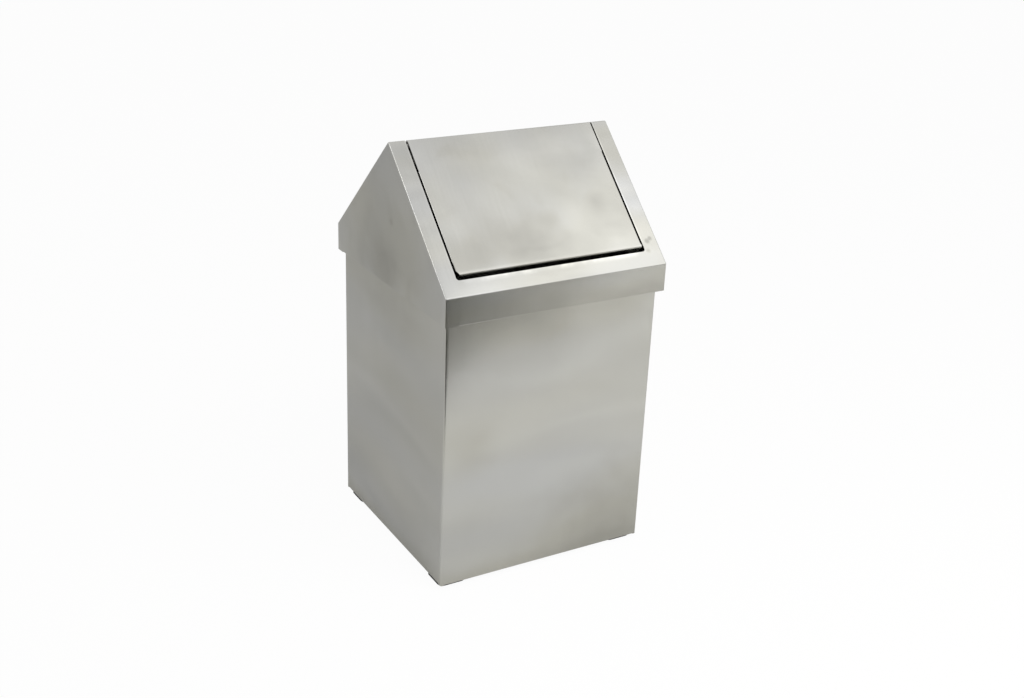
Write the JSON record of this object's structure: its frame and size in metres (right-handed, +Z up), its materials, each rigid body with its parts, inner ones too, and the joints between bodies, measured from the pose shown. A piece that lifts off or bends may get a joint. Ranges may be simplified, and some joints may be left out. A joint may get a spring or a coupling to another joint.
{
  "type": "countertop waste bin with swing lid",
  "caption": "Square sheet-steel waste bin with a lift-off pitched hood and a two-way swing flap across its ridge.",
  "frame": {"origin": "on the floor plane under the feet, at the middle of the can", "axes": "+X along the roof ridge to the right seen from the front, -Y towards the front, +Z up"},
  "size_m": [0.16, 0.1612, 0.281],
  "materials": {
    "can_steel": "satin stainless sheet, vertical grain",
    "hood_steel": "satin stainless sheet, grain down the slopes",
    "flap_steel": "satin stainless sheet with finger marks",
    "bracket_steel": "mill-finish stainless plate and sheet",
    "fastener_steel": "bright stainless fasteners",
    "foot_rubber": "matt black rubber",
    "bush_nylon": "natural nylon"
  },
  "bodies": {
    "can": {"body_wrap": "can_steel", "seam_strap": "can_steel", "base_pan": "can_steel", "foot_front_left": "foot_rubber", "foot_front_right": "foot_rubber", "foot_back_left": "foot_rubber", "foot_back_right": "foot_rubber", "foot_rivets": "fastener_steel", "foot_washers": "fastener_steel"},
    "hood": {"hood_roof": "hood_steel", "gable_left": "hood_steel", "gable_right": "hood_steel", "seat_rail_front": "bracket_steel", "seat_rail_back": "bracket_steel", "seat_rail_left": "bracket_steel", "seat_rail_right": "bracket_steel", "pivot_bracket_left": "bracket_steel", "pivot_bracket_right": "bracket_steel", "pivot_screw_left": "fastener_steel", "pivot_screw_right": "fastener_steel", "pivot_washers": "fastener_steel", "pivot_nuts": "fastener_steel"},
    "flap": {"flap_panel": "flap_steel", "hanger_left": "bracket_steel", "hanger_right": "bracket_steel", "pivot_bush_left": "bush_nylon", "pivot_bush_right": "bush_nylon"}
  },
  "joints": [
    {"name": "hood_lift", "type": "slide", "parent": "can", "child": "hood", "axis": [0, 0, 1], "range_m": [0, 0.04]},
    {"name": "flap_swing", "type": "hinge", "parent": "hood", "child": "flap", "pos_m": [0, 0, 0.2655], "axis": [1, 0, 0], "range_deg": [-80, 80]}
  ]
}
